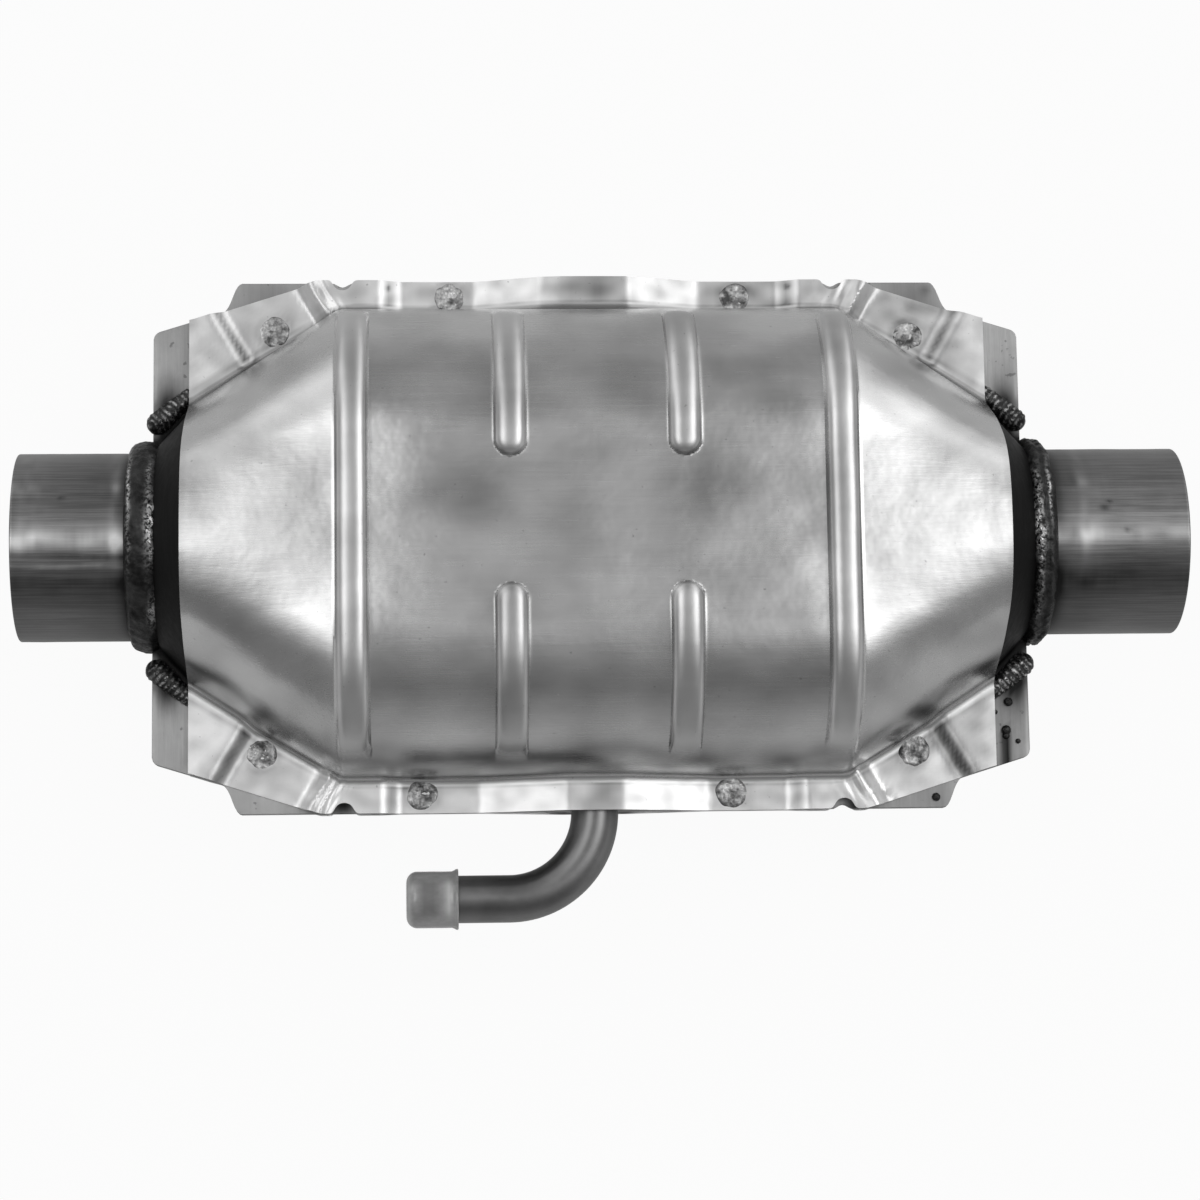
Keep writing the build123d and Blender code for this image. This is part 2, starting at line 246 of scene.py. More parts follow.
class Nodes:
    # short calls for the node tree of a material or of the world
    def __init__(self, owner, space="Object"):
        self.owner = owner
        owner.use_nodes = True
        self.tree = owner.node_tree
        self.tree.nodes.clear()
        self.place = self.add("TexCoord").outputs[space]

    def feed(self, socket, value):
        # links the socket to another one, or sets its value
        if isinstance(value, bpy.types.NodeSocket):
            self.tree.links.new(value, socket)
        elif isinstance(value, (int, float)) and socket.type == "RGBA":
            socket.default_value = (value, value, value, 1)
        else:
            socket.default_value = value

    def add(self, kind, inputs=None, **settings):
        node = self.tree.nodes.new("ShaderNode" + kind)
        for key, value in settings.items():
            setattr(node, key, value)
        for key, value in (inputs or {}).items():
            self.feed(node.inputs[key], value)
        return node

    def cloud(self, scale, detail=3.0, stretch=(1, 1, 1), rough=0.55, shift=(0, 0, 0)):
        where = self.add("Mapping", {"Vector": self.place, "Scale": stretch, "Location": shift})
        return self.add("TexNoise", {"Vector": where.outputs["Vector"], "Scale": scale, "Detail": detail,
                "Roughness": rough}).outputs["Fac"]

    def ramp(self, source, stops):
        node = self.add("ValToRGB", {"Fac": source})
        while len(node.color_ramp.elements) < len(stops):
            node.color_ramp.elements.new(0.5)
        for element, (place, value) in zip(node.color_ramp.elements, stops):
            element.position = place
            element.color = (value, value, value, 1)
        return node.outputs["Color"]

    def reach(self, source, low, high, toLow=0.0, toHigh=1.0):
        return self.add("MapRange", {"Value": source, "From Min": low, "From Max": high,
                "To Min": toLow, "To Max": toHigh}).outputs["Result"]

    def math(self, operation, a, b=0.0):
        return self.add("Math", {0: a, 1: b}, operation=operation).outputs[0]

    def blend(self, factor, a, b, how="MIX"):
        return self.add("Mix", {0: factor, 6: a, 7: b}, data_type="RGBA", blend_type=how).outputs[2]

    def attribute(self, name):
        return self.add("Attribute", attribute_name=name).outputs["Fac"]

    def relief(self, *layers):
        # bumps laid over each other, each given by its height, strength and distance
        below = {}
        for height, strength, distance in layers:
            bumps = self.add("Bump", {"Height": height, "Strength": strength, "Distance": distance, **below})
            below = {"Normal": bumps.outputs["Normal"]}
        return below["Normal"]

    def surface(self, colour, roughness, normal, metallic=0.0, more=None):
        return self.finish(self.add("BsdfPrincipled", {
                "Base Color": colour, "Metallic": metallic, "Normal": normal,
                "Roughness": roughness, **(more or {})}))

    def finish(self, shader, output="OutputMaterial"):
        self.tree.links.new(shader.outputs[0], self.add(output).inputs["Surface"])
        return self.owner


def newMaterial(name):
    return Nodes(bpy.data.materials.new(name))


def brightSheetMaterial():
    look = {"colour": (0.6204, 0.66), "flangeColour": 0.95, "dragged": 0.45, "pits": 0.45, "dirt": 0.153,
            "roughness": (0.22, 0.3), "flangeRoughness": 0.42, "anisotropic": 0.45}
    n = newMaterial("Bright stamped sheet")
    brush = n.cloud(1300, 2, (0.03, 1, 1), 0.7)  # fine lengthwise brushing
    drag = n.cloud(130, 3, (0.12, 1, 1), 0.6)  # longer marks that the press left
    cloud = n.cloud(28, 4, (1, 1, 1), 0.6, (3, 1, 0))
    pits = n.ramp(n.cloud(650, 2, (1, 1, 1), 0.5), [(0.24, 0.35), (0.27, 1)])
    flange = n.attribute("flange")
    colour = n.blend(n.reach(cloud, 0.35, 0.7), *look["colour"])
    # the flange rows and the rib crowns are painted lighter and rougher, a painted highlight
    colour = n.blend(n.reach(flange, 0.85, 1), colour, look["flangeColour"])
    colour = n.blend(n.reach(drag, 0.3, 0.75, 0, 0.14), colour, look["dragged"])
    colour = n.blend(look["pits"], colour, pits, "MULTIPLY")
    # the stains, with painted shade in the creases and a painted dark reflection low on the tube's side
    colour = n.blend(n.attribute("stain"), colour, look["dirt"])
    both = n.math("ADD", n.math("MULTIPLY", brush, 0.5), n.math("MULTIPLY", cloud, 0.5))
    rough = n.reach(both, 0.3, 0.7, *look["roughness"])
    rough = n.math("MAXIMUM", rough, n.math("MULTIPLY", flange, look["flangeRoughness"]))
    normal = n.relief((brush, 0.07, 0.0003), (drag, 0.02, 0.0006), (cloud, 0.18, 0.002))
    tangent = n.add("Tangent", direction_type="UV_MAP", uv_map="Sheet").outputs["Tangent"]
    return n.surface(colour, rough, normal, 1, {"Anisotropic": look["anisotropic"],
            "Anisotropic Rotation": 0.25, "Tangent": tangent})


def dullSheetMaterial():
    look = {"colour": (0.32, 0.46), "brushed": 0.28, "specks": 0.6, "burnt": 0.022, "roughness": (0.34, 0.46)}
    n = newMaterial("Dull sheet")
    brush = n.cloud(700, 2, (1, 0.06, 1), 0.7)
    cloud = n.cloud(45, 4)
    burn = n.attribute("stain")
    specks = n.ramp(n.cloud(330, 2, rough=0.5), [(0.28, 0.3), (0.33, 1)])
    colour = n.blend(n.reach(cloud, 0.3, 0.7), *look["colour"])
    colour = n.blend(n.reach(brush, 0.3, 0.8, 0, 0.2), colour, look["brushed"])
    colour = n.blend(look["specks"], colour, specks, "MULTIPLY")
    colour = n.blend(burn, colour, look["burnt"])
    rough = n.math("ADD", n.reach(brush, 0.3, 0.7, *look["roughness"]), n.math("MULTIPLY", burn, 0.2))
    normal = n.relief((brush, 0.15, 0.0003), (cloud, 0.15, 0.001))
    return n.surface(colour, rough, normal, 1)


def pipeMaterial():
    look = {"colour": (0.15, 0.21), "light": 0.34, "dark": 0.07, "rubbed": 0.62, "stained": 0.03,
            "roughness": (0.3, 0.42)}
    n = newMaterial("Drawn pipe steel")
    brush = n.cloud(1500, 3, (0.02, 1, 1), 0.65)
    cloud = n.cloud(40, 4, (0.6, 1, 1))
    colour = n.blend(n.reach(cloud, 0.35, 0.7), *look["colour"])
    colour = n.blend(n.reach(brush, 0.45, 0.75, 0, 0.45), colour, look["light"])
    colour = n.blend(n.reach(brush, 0.5, 0.3, 0, 0.25), colour, look["dark"])
    # painted highlight bands along and across the pipe
    colour = n.blend(n.attribute("shine"), colour, look["rubbed"])
    # heat tint and pits, with painted shade inside and underneath and painted dark reflected lines
    colour = n.blend(n.attribute("stain"), colour, look["stained"])
    rough = n.reach(brush, 0.3, 0.7, *look["roughness"])
    normal = n.relief((brush, 0.12, 0.0002), (cloud, 0.15, 0.001))
    return n.surface(colour, rough, normal, 1)


def weldMaterial():
    look = {"colour": (0.015, 0.065), "glint": 0.85, "roughness": (0.28, 0.55), "metallic": 0.85}
    n = newMaterial("Weld metal")
    grain = n.cloud(900, 3, rough=0.7)
    cloud = n.cloud(170, 4)
    glint = n.attribute("shine")
    colour = n.blend(n.reach(cloud, 0.35, 0.75), *look["colour"])
    # painted glints
    colour = n.blend(n.math("MULTIPLY", glint, n.reach(grain, 0.44, 0.54)), colour, look["glint"])
    rough = n.reach(grain, 0.3, 0.7, *look["roughness"])
    rough = n.math("SUBTRACT", rough, n.math("MULTIPLY", glint, 0.12))
    normal = n.relief((grain, 0.6, 0.0005), (cloud, 0.6, 0.0015))
    return n.surface(colour, rough, normal, look["metallic"])


def spotMaterial():
    look = {"colour": [(0.36, 0.08), (0.48, 0.3), (0.64, 0.58)], "pit": 0.06, "burnt": 0.05,
            "roughness": (0.5, 0.3), "metallic": 0.95}
    n = newMaterial("Spot weld")
    pits = n.add("TexVoronoi", {"Vector": n.place, "Scale": 620, "Randomness": 1.0}).outputs["Distance"]
    cloud = n.cloud(260, 4, rough=0.65)
    colour = n.ramp(cloud, look["colour"])
    colour = n.blend(n.reach(pits, 0.1, 0.35, 0.35, 0), colour, look["pit"])
    colour = n.blend(n.attribute("stain"), colour, look["burnt"])
    normal = n.relief((cloud, 0.7, 0.0012), (pits, 0.35, 0.0004))
    return n.surface(colour, n.reach(cloud, 0.3, 0.7, *look["roughness"]), normal, look["metallic"])


def tubeMaterial():
    look = {"colour": (0.17, 0.25), "roughness": (0.3, 0.4)}
    n = newMaterial("Satin tube")
    cloud = n.cloud(60, 4)
    colour = n.blend(n.reach(cloud, 0.3, 0.7), *look["colour"])
    normal = n.relief((n.cloud(1200, 2), 0.08, 0.0002))
    return n.surface(colour, n.reach(cloud, 0.3, 0.7, *look["roughness"]), normal, 1)


def capMaterial():
    look = {"colour": (0.3, 0.5), "pale": 0.85, "dark": 0.08, "roughness": (0.14, 0.26), "seeThrough": 0.3,
            "coat": 0.6}
    n = newMaterial("Cloudy cap plastic")
    cloud = n.cloud(90, 4, (0.6, 1, 1), rough=0.6)
    colour = n.blend(n.reach(cloud, 0.38, 0.62), *look["colour"])
    # painted highlight on the lip and the closed rim, painted shade where the tube's end shows through
    colour = n.blend(n.attribute("shine"), colour, look["pale"])
    colour = n.blend(n.attribute("stain"), colour, look["dark"])
    rough = n.reach(cloud, 0.3, 0.7, *look["roughness"])
    return n.surface(colour, rough, n.relief((cloud, 0.12, 0.001)), more={
        "Transmission Weight": look["seeThrough"], "IOR": 1.5, "Coat Weight": look["coat"],
        "Coat Roughness": 0.08})


def honeycombMaterial():
    n = newMaterial("Coated honeycomb")
    colour = n.blend(n.reach(n.cloud(90, 4), 0.3, 0.7), (0.33, 0.29, 0.23, 1), (0.46, 0.41, 0.33, 1))
    return n.surface(colour, 0.9, n.relief((n.cloud(1500, 2), 0.3, 0.0002)))


def fibreMaterial():
    n = newMaterial("Pressed fibre mat")
    fibres = n.cloud(700, 3, (1, 0.2, 1))
    colour = n.blend(n.reach(n.cloud(120, 3), 0.3, 0.7), (0.55, 0.52, 0.46, 1), (0.78, 0.76, 0.71, 1))
    return n.surface(colour, 0.95, n.relief((fibres, 0.6, 0.0005)))


def wireMaterial():
    n = newMaterial("Pressed knitted wire")
    wave = {"Vector": n.place, "Scale": 420, "Distortion": 6, "Detail": 2}
    strands = n.add("TexWave", wave).outputs["Fac"]
    return n.surface(n.ramp(strands, [(0.2, 0.1), (0.6, 0.55)]), 0.45, n.relief((strands, 0.7, 0.0004)), 1)


brightSheet, dullSheet, pipeSteel = brightSheetMaterial(), dullSheetMaterial(), pipeMaterial()
weldMetal, spotMetal, tubeSteel = weldMaterial(), spotMaterial(), tubeMaterial()
capPlastic, honeycomb = capMaterial(), honeycombMaterial()
print("materials are ready")


# pressed sheets: one grid each, bent by a section that changes along the body

pressing = {"filletRadius": 2.6, "filletRows": 4, "slopeStep": 0.004, "patternSize": 300, "ribShine": 0.85}


def shareAt(section, goal, low, high):
    # share of the section's length at which it reaches a height
    for halving in range(16):
        middle = (low + high) / 2
        if section(middle).y < goal:
            low = middle
        else:
            high = middle
    return high


def footAt(x, side, sectionAt, heightAt):
    # where the section meets the flange, the flange's level there, and the share where the fillet ends
    section = sectionAt(x, side)
    foot = section(0).x
    for again in range(3):
        level = heightAt(x, side * foot, side)
        start = shareAt(section, level, 0, 0.5)
        foot = section(start).x
    return section, foot, level, shareAt(section, level + pressing["filletRadius"], start, 0.6)


def pressedSheet(columns, flangeRows, domeRows, sectionAt, edgeAt, heightAt, reliefAt, stainAndShadeAt, up):
    # rows run from one flange's edge over the dome to the other flange's edge
    radius, filletRows, slopeStep = pressing["filletRadius"], pressing["filletRows"], pressing["slopeStep"]
    rows = []
    for side in (1, -1):
        part = [("flange", side, i / flangeRows) for i in range(flangeRows)]
        part += [("fillet", side, i / filletRows) for i in range(filletRows)]
        part += [("dome", side, share) for share in domeRows]
        rows += part if side == 1 else list(reversed(part[:-1]))
    bm = bmesh.new()
    uv = bm.loops.layers.uv.new("Sheet")
    bmesh.ops.create_grid(bm, x_segments=len(columns) - 1, y_segments=len(rows) - 1, size=1, calc_uvs=True)
    stain, rubbed = bm.verts.layers.float.new("stain"), bm.verts.layers.float.new("flange")
    feet = {(i, side): footAt(x, side, sectionAt, heightAt)
            for i, x in enumerate(columns) for side in (1, -1)}
    for vert in bm.verts:
        i = round((vert.co.x + 1) / 2 * (len(columns) - 1))
        j = round((vert.co.y + 1) / 2 * (len(rows) - 1))
        x = columns[i]
        kind, side, share = rows[len(rows) - 1 - j]
        section, foot, level, lift = feet[i, side]
        if kind == "flange":
            y = mix(edgeAt(x, side), foot + radius, share)
            z = heightAt(x, side * y, side)
            vert[rubbed] = 1.0
        elif kind == "fillet":
            a = Vector((foot + radius, heightAt(x, side * (foot + radius), side)))
            b, c = Vector((foot, level)), section(lift)
            y, z = a.lerp(b, share).lerp(b.lerp(c, share), share)
            vert[rubbed] = 1.0 - share
        else:
            t = mix(lift, 1, share)
            along = (section(min(1, t + slopeStep)) - section(max(0, t - slopeStep))).normalized()
            raised = reliefAt(x, side, t, section)
            y, z = section(t) + Vector((along.y, -along.x)) * raised
            # the rib crowns get the flange's painted highlight
            vert[rubbed] = clamp(raised / 2) * pressing["ribShine"]
        vert.co = (x, side * y, up * z)
        vert[stain] = clamp(stainAndShadeAt(x, side * y, kind, share))
    for face in bm.faces:
        for loop in face.loops:
            loop[uv].uv = [c / pressing["patternSize"] + 0.5 for c in loop.vert.co.xy]
    if up < 0:
        bmesh.ops.reverse_faces(bm, faces=bm.faces)
    return bm


shield = {
    "sheet": 0.9, "edge": 0.22, "baseTop": 2.4, "flangeRows": 13,
    "shoulderX": 85, "endX": 135.9,
    "halfWidth": 79.3, "height": 54.4, "corner": 47,
    "endSection": [(49.5, 0), (49, 3), (46.8, 8), (43.6, 15), (40, 23), (36.6, 29.5), (33, 35),
        (27.7, 42), (20, 47.6), (10, 50.4), (0, 51)],
    "outline": [(0, 91.2), (92, 91.2), (135.9, 77.2)],
    "notch": [(-4.6, 0), (-3.7, 0.5), (-2.6, 2.6), (-1.2, 3.4), (0, 3.6), (1.2, 3.4), (2.6, 2.6), (3.7, 0.5),
        (4.6, 0)],
    "notchX": 84,
    # lift of the flange along each long side: the raised middle, the pads and the steps beside the corners
    "wave": {1: [(-86, 3), (-71.3, 3), (-64.2, 0), (-39, 0), (-16.8, 7.4), (-9.5, 8.2), (13.4, 8.2),
        (37.5, 0), (64.9, 0), (72, 3), (86, 3)],
        -1: [(-86, 3), (-71.3, 3), (-65.4, 0), (-38.6, 0), (-9.6, 8.2), (9.6, 8.2), (38.2, 0),
        (64.9, 0), (71.5, 3), (86, 3)]},
    # lift along the corner, measured along the cone's crease from the shoulder
    "cornerWave": [(-4, 3), (-0.6, 3), (2.8, 4.6), (4.2, 4.2), (7.6, 0), (33, 0), (37.5, 3.8),
        (80, 3.8)],
    "creaseAngle": atan2(29.8, 50.9), "cornerX": 78, "cornerBlend": 4,
    "longRib": 80.2, "shortRib": 28.5, "ribTip": 26.3,
    "ribHeight": 3.6, "ribHalf": 5.4, "ribPower": 2.45, "ribFoot": (70, 90), "ribFillet": 0.16, "crown": 0.8,
    # dents of the flange, and of the gathered sheet at each corner
    "flangeDents": (0.24, 0.08), "wrinkles": [1.3, 0.9, 0.8, 0.8],
    "domeDents": (0.26, 0.05),
    "spots": [(-107.1, 73.9), (-47.6, 85.3), (50.6, 85.1), (110.2, 71.6),
        (-111.5, -71), (-58, -84.9), (46, -85), (108.5, -71.8)],
    "lowerSpots": [(-50, 85.2), (50, 85.2), (-109, 72.3), (109, 72.3),
        (-50, -85.2), (50, -85.2), (-109, -72.3), (109, -72.3)],
}
drumSection = roundedSection(shield["halfWidth"], shield["height"], shield["corner"])
coneSection = smoothSection(shield["endSection"])


def shieldSection(x, side):
    k = softLine([(shield["shoulderX"], 0), (shield["endX"], 1)], abs(x), 1.6)
    if k <= 0:
        return drumSection.at
    return lambda t: drumSection.at(t).lerp(coneSection.at(t), k)


def shieldEdge(x, side):
    outer = softLine(shield["outline"], abs(x), 1)
    return outer - softLine(shield["notch"], abs(x) - shield["notchX"], 0.5)


def alongCrease(x, y):
    # the way along the cone's crease from the shoulder, and the way across it
    angle = shield["creaseAngle"]
    out, inward = abs(x) - shield["shoulderX"], shield["halfWidth"] - abs(y)
    return out * cos(angle) + inward * sin(angle), out * sin(angle) - inward * cos(angle)


def shieldHeight(x, y, side):
    run, beside = alongCrease(x, y)
    straight = softLine(shield["wave"][side], x, 0.9)
    turned = softLine(shield["cornerWave"], run, 0.7)
    k = clamp((abs(x) - shield["cornerX"]) / shield["cornerBlend"])
    lift = mix(straight, turned, k) if k < 1 else turned
    if abs(x) > shield["cornerX"]:
        # the press gathers the sheet into small wrinkles at each corner
        fold = noiseAt(run / 1.5, beside / 9, 3.0 + x / 90 + y / 40)
        lift += shield["wrinkles"][(x > 0) + 2 * (y > 0)] * bump(run - 3, 5) * fold
    broad, fine = shield["flangeDents"]
    return (shield["baseTop"] + lift + broad * noiseAt(x / 11, y / 8, 2.5)
            + fine * noiseAt(x / 4, y / 3, 6.5))


def ribRise(away):
    # flat crown with round shoulders and a tight fillet at its foot
    k, power = away / shield["ribHalf"], shield["ribPower"]
    arc = shield["ribHeight"] * (1 - k ** power) ** (1 / power) if k < 1 else -3 * (away - shield["ribHalf"])
    return 0.5 * (arc + sqrt(arc * arc + shield["ribFillet"]))


def shieldRibs(x, t):
    if abs(x) > shield["longRib"] + 11.8:
        return 0.0
    down = (1 - t) * drumSection.length  # way from the top's middle, along the section
    start, stop = shield["ribFoot"]
    fade = clamp((down - start) / (stop - start))
    fade = 1 - fade * fade * (3 - 2 * fade)
    lift = 0.0
    for ribX, tip in ((shield["longRib"], 0), (shield["shortRib"], shield["ribTip"])):
        across = abs(x) - ribX
        if abs(across) < 9:
            beyond = max(tip - down, 0) if tip else 0.0
            lift = max(lift, ribRise(hypot(across, beyond)))
    return lift * fade


def shieldDents(x, y, seed):
    # the sheet is never quite flat, and its level top falls off a little towards the long ribs
    broad, fine = shield["domeDents"]
    dents = broad * noiseAt(x / 26, y / 26, seed) + fine * noiseAt(x / 9, y / 9, seed + 5)
    sag = clamp((abs(x) - 45) / 30) ** 2 * clamp((132 - abs(x)) / 46)
    return dents - shield["crown"] * sag * clamp((50 - abs(y)) / 22)


# marks and clouds on the shields, with painted shade and a painted dark reflection
shieldWearAndShade = {
    # grey marks on the flange: middle, half widths and depth; the thin ones at x ±68 lie on the flange's
    # steps and are painted shade
    "marks": [(-68.2, 85, 1.6, 9, 0.4), (68.4, 85, 1.6, 9, 0.35), (-68.4, -85, 1.6, 9, 0.35),
        (68.2, -85, 1.6, 9, 0.35), (2, 85, 12, 20, 0.42), (3, -85, 9, 20, 0.42), (134, -64, 8, 14, 0.25),
        (110, 82, 14, 6, 0.3), (-119, 70, 6, 9, 0.22), (-112, -78, 11, 6, 0.25), (55, 88, 22, 14, 0.26),
        (112, 72, 26, 18, 0.2), (112, -70, 22, 16, 0.28), (-68.4, 88.6, 0.8, 1, 0.6),
        (-104.5, 66, 1, 0.9, 0.6), (68.8, 89, 0.9, 0.9, 0.5), (-64, -81.5, 2.2, 2.8, 0.45)],
    # darker and, below zero, brighter clouds on each dome
    "topClouds": [(-41.8, 9.6, 14, 13, 0.44), (39.6, 12.4, 15, 13, 0.4), (0, -8, 22, 16, 0.06),
        (36, 34, 4, 16, 0.14), (-54, -22, 17, 13, -0.3), (-67, 2, 7, 18, -0.18), (-26, 25, 13, 7, -0.24),
        (62, 10, 13, 17, 0.2), (62, -41, 20, 9, 0.24), (-97, 9, 6, 16, -0.22), (94, 43, 9, 9, 0.2),
        (102, -22, 18, 8, 0.22), (94, -57, 12, 9, 0.2), (95, -30, 7, 7, 0.28), (73, -5, 5, 14, 0.18)],
    "lowerClouds": [(10, 12, 24, 18, 0.12)],
    "spotRim": (5.6, 1.2, 0.2),  # radius, half width and depth
    "stepRun": 35.4, "step": {1: (1.5, 0.45), -1: (2, 0.65)},  # painted shade on the step at each corner: half width and depth on each side
    # painted shade over the plain side's flange and in the fillet's crease, stronger on the plain side
    "flange": {1: 0.17, -1: 0.0}, "fillet": {1: 0.5, -1: 0.1}, "filletMiddle": {1: 0.25, -1: 0.0},
    "shoulder": (0.18, 0.08, 0.66),  # painted dark reflection in a band on the tube's side: middle, half width and depth
    "dome": 0.13, "domeMottle": (0.34, 0.1), "flangeMottle": 0.32,
}


def shieldStainAndShade(spots, clouds):
    wearAndShade = shieldWearAndShade

    def stainAndShadeAt(x, y, kind, share):
        side = 1 if y > 0 else -1
        stain = patches(clouds, x, y)
        if kind == "flange":
            # a dark ring round each spot weld, painted shade over the plain side's flange, and the flange
            # marks
            radius, half, depth = wearAndShade["spotRim"]
            near = min(hypot(x - spotX, y - spotY) for spotX, spotY in spots)
            stain += depth * bump(near - radius, half) + wearAndShade["flange"][side] + patches(wearAndShade["marks"], x, y)
            if abs(x) > shield["cornerX"]:
                # painted shade on the step at each corner
                half, depth = wearAndShade["step"][side]
                stain += depth * bump(alongCrease(x, y)[0] - wearAndShade["stepRun"], half)
            stain += wearAndShade["flangeMottle"] * (0.25 + noiseAt(x / 7, y / 5, 4))
            stain += 0.5 * clamp(share * 13 - 11.6)  # painted shade on the row beside the fillet
        if kind == "fillet":
            # painted shade in the fillet's crease
            stain += wearAndShade["fillet"][side] + wearAndShade["filletMiddle"][side] * sin(pi * share)
        if kind == "dome":
            broad, fine = wearAndShade["domeMottle"]
            # painted shade at the dome's foot, an even darkening and random mottle
            stain += 0.4 * bump(share, 0.012) + wearAndShade["dome"] + broad * noiseAt(x / 21, y / 15, 9)
            stain += fine * noiseAt(x / 8, y / 5, 12)
            # painted dark reflection in a band low on the tube's side
            if side < 0:
                middle, half, depth = wearAndShade["shoulder"]
                stain += depth * bump(share - middle, half) * (1 + 0.5 * noiseAt(x / 14, share * 12, 5))
        return stain
    return stainAndShadeAt


def domeRows():
    # shares from the foot to the top, closer together where the ribs start and end
    reach = 108.0
    places = spaced([(0, 2.6), (18.5, 0.5), (25, 1.1), (34, 2.6), (86, 1.3), (102, 1.6), (reach, 1)])
    return [1 - place / reach for place in reversed(places)]


def makeShield(name, up, spots, clouds, seed):
    def reliefAt(x, side, t, section):
        return shieldRibs(x, t) + shieldDents(x, side * section(t).x, seed) * clamp(t * 4)
    # columns stand closer together at the ribs
    columns = bothWays(spaced([(0, 2.2), (8, 1), (18, 2.2), (21.5, 0.5), (35.5, 1.2), (41, 2.4), (62, 1),
            (72.5, 0.62), (92.5, 0.9), (97, 1.5), (112, 1.3), (132, 1.3), (135.9, 1)]))
    bm = pressedSheet(columns, shield["flangeRows"], domeRows(), shieldSection, shieldEdge, shieldHeight,
            reliefAt, shieldStainAndShade(spots, clouds), up)
    keepPiece(name, bm, brightSheet, [name.replace("Shield", "_heat_shield")],
            wall=shield["sheet"], edge=shield["edge"])


makeShield("upperShield", 1, shield["spots"], shieldWearAndShade["topClouds"], 1.5)
makeShield("lowerShield", -1, shield["lowerSpots"], shieldWearAndShade["lowerClouds"], 8.5)
print("heat shields are pressed")


# body shells inside the shields, with their own flange

shell = {
    "sheet": 1.5, "edge": 0.25, "shoulderX": 84, "endX": 136, "neckX": 147, "lastX": 148.3, "corner": 2.2,
    "drum": (73.9, 45.9, 45.6), "coneEnd": (44.5, 44.5, 43.5), "neck": (33.2, 33.2, 33.1),
    "outline": [(0, 91), (119.8, 91), (123.2, 81.4), (148.3, 73.6)],
    "reliefX": 84, "reliefHalf": 3.5, "reliefDepth": 1.4,
    "burns": [(-143, 46), (143, 46), (143, -46), (-143, -46)],
    # dark marks on the flange: middle, half widths and depth; the deep one at (-84, -88.5) is painted shadow
    # in the notch of the shield above
    "marks": [(-84, -88.5, 3.8, 3.8, 0.9), (-91, -87, 5, 5, 0.45), (88.5, -90, 3.2, 3.2, 0.7),
        (-101, -86, 1.6, 1.6, 0.5), (117, 88, 2, 2, 0.3), (110, 84, 12, 12, 0.48),
        (-110, 84, 12, 12, 0.42)],
    "runX": 140.1,
}
shellSections = [roundedSection(*shell[part]) for part in ("drum", "coneEnd", "neck")]


def shellSection(x, side):
    far = abs(x)
    drum, cone, neck = shellSections
    if far < shell["endX"]:
        k = softLine([(shell["shoulderX"], 0), (shell["endX"], 1)], far, 1.5)
        return lambda t: drum.at(t).lerp(cone.at(t), k)
    k = softLine([(shell["endX"], 0), (shell["neckX"], 1)], far, 1)
    return lambda t: cone.at(t).lerp(neck.at(t), k)


def shellEdge(x, side):
    outer = softLine(shell["outline"], abs(x), 1.3)
    corner, half = shell["corner"], shell["reliefHalf"]
    far = abs(x) - (shell["lastX"] - corner)
    if far > 0:
        outer -= corner - sqrt(max(0, corner ** 2 - far ** 2))
    near = abs(abs(x) - shell["reliefX"])
    if near < half and not (x < 0 and side < 0):
        outer -= shell["reliefDepth"] * cos(near / half * pi / 2) ** 2
    return outer


def shellStain(x, y, kind, share):
    near = min(hypot(x - burnX, (y - burnY) * (0.55 if abs(y) > abs(burnY) else 0.3))
            for burnX, burnY in shell["burns"])
    stain = 1.1 * bump(near, 5) + 0.1 * bump(near, 14)
    stain += 0.25 * clamp(x / 60) * clamp(-y / 40)  # the corner with the spatter is a little darker
    if abs(y) > 50:
        stain -= 0.3 * bump(abs(x) - 147.6, 0.7)  # bright cut edge
    stain += patches(shell["marks"], x, y)
    # dark run below the large drop of spatter
    stain += 0.9 * bump(x - shell["runX"], 1.5) * clamp((y + 79) / 2) * clamp((-64 - y) / 2)
    if kind != "flange":
        stain = max(stain, clamp((abs(x) - 118) / 12))
    return stain


def makeShell(name, up, node):
    columns = bothWays(spaced([(0, 6), (80, 1), (88, 4), (112, 0.8), (126, 1.6), (144, 0.35), (148.3, 1)]))
    rows = [i / 30 for i in range(31)]
    bm = pressedSheet(columns, 12, rows, shellSection, shellEdge, lambda x, y, side: shell["sheet"],
            lambda x, side, t, section: 0, shellStain, up)
    keepPiece(name, bm, dullSheet, [node], wall=shell["sheet"], edge=shell["edge"])


makeShell("upperShell", 1, "upper_shell")
makeShell("lowerShell", -1, "lower_shell")
print("body shells are pressed")


# pipe stubs

pipes = {
    "outer": 31.75, "inner": 30.15, "innerX": 139, "steps": 224, "lip": 0.5,
    "inlet": {
        "end": -1, "mouthX": 192.8,
        # painted highlights and dark reflected lines along the pipe: angle from the top, width, brightness
        # (minus for a dark line)
        "marks": [(-4.5, 5.5, 0.5), (-14.5, 1.6, -0.55), (-20.5, 1.5, 0.5), (-31, 6, -0.3)],
        # painted highlight bands across the pipe: place along X, width, brightness
        "bands": [(-158.2, 1.9, 0.6), (-162, 5, 0.1), (-188.5, 7, 0.34)],
        # small dark marks: place along X, angle, size
        "pits": [(-176, 22, 0.7)],
    },
    "outlet": {
        "end": 1, "mouthX": 199.4,
        "marks": [(-4.5, 4.5, 0.34), (8, 1.2, 0.12), (22, 20, 0.07), (-32, 9, -0.35), (24, 1, 0.12)],
        "bands": [(164, 2.2, 0.42), (160.5, 2.4, -0.25), (168.5, 3, 0.1)],
        "pits": [(170.7, 12, 1.2), (178, -2, 0.9), (172.5, 16, 0.7)],
    },
}


